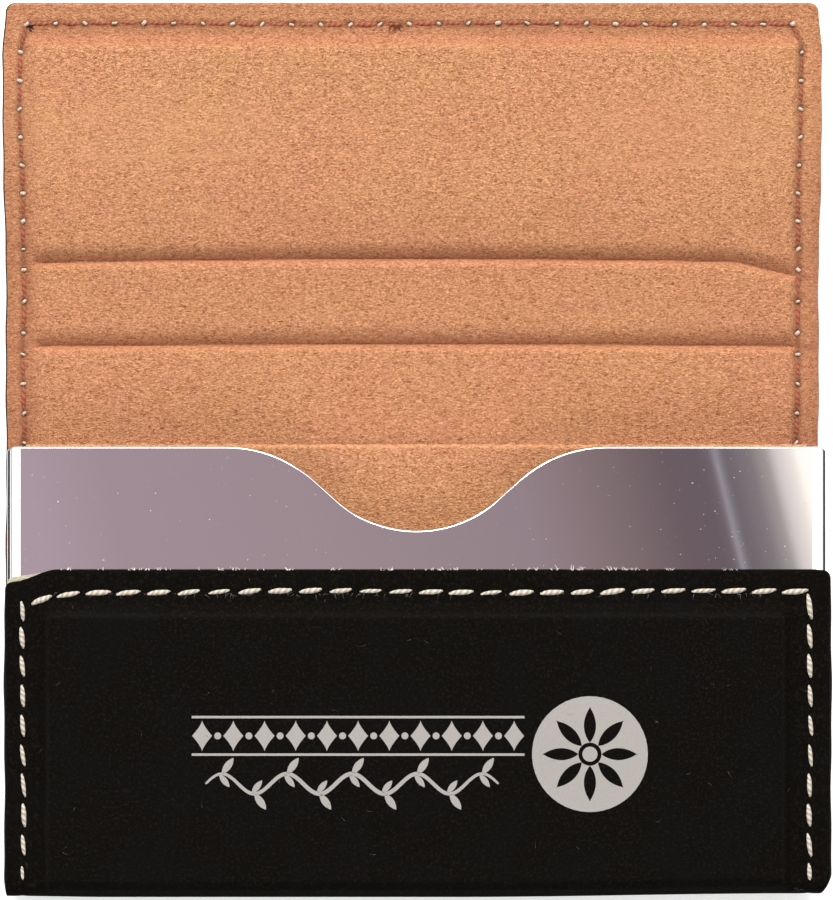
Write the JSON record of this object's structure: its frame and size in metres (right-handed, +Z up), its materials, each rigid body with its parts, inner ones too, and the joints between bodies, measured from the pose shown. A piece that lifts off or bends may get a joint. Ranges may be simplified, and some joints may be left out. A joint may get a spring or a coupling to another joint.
{
  "type": "business card case",
  "caption": "Hard business card case: an open stitched wrap with a hinged spine strip and flap, folded round a polished metal sleeve that has a thumb notch and holds the cards.",
  "frame": {"origin": "centre of the back panel's outer face, which the case lies on", "axes": "+Z up out of the sleeve's front plate, +Y from the bottom fold towards the flap, +X to the right when the pocket is seen from above"},
  "size_m": [0.0952, 0.1033, 0.0106],
  "materials": {
    "leatherette": "matte, fine nap",
    "suede_lining": "napped suede",
    "greyboard": "raw",
    "polished_steel": "mirror polished",
    "nickel_plate": "satin",
    "needle_thread": "twisted thread",
    "bobbin_thread": "twisted thread"
  },
  "bodies": {
    "body": {"outer_cover_body": "leatherette", "lining_body": "suede_lining", "pocket_lining": "suede_lining", "front_board": "greyboard", "bottom_board": "greyboard", "back_board": "greyboard", "card_sleeve": "polished_steel", "body_needle_thread": "needle_thread", "body_bobbin_thread": "bobbin_thread"},
    "spine": {"outer_cover_spine": "leatherette", "lining_spine": "suede_lining", "spine_board": "greyboard", "spine_needle_thread_left": "needle_thread", "spine_needle_thread_right": "needle_thread", "spine_bobbin_thread_left": "bobbin_thread", "spine_bobbin_thread_right": "bobbin_thread"},
    "flap": {"outer_cover_flap": "leatherette", "lining_flap": "suede_lining", "flap_board": "greyboard", "flap_magnet_left": "nickel_plate", "flap_magnet_right": "nickel_plate", "flap_needle_thread": "needle_thread", "flap_bobbin_thread": "bobbin_thread"}
  },
  "joints": [
    {"name": "lower_crease", "type": "hinge", "parent": "body", "child": "spine", "pos_m": [0, 0.032, 0.00035], "axis": [1, 0, 0], "range_deg": [-4, 86]},
    {"name": "upper_crease", "type": "hinge", "parent": "spine", "child": "flap", "pos_m": [0, 0.04217, 0.00106], "axis": [1, 0, 0], "range_deg": [-6, 84]}
  ]
}
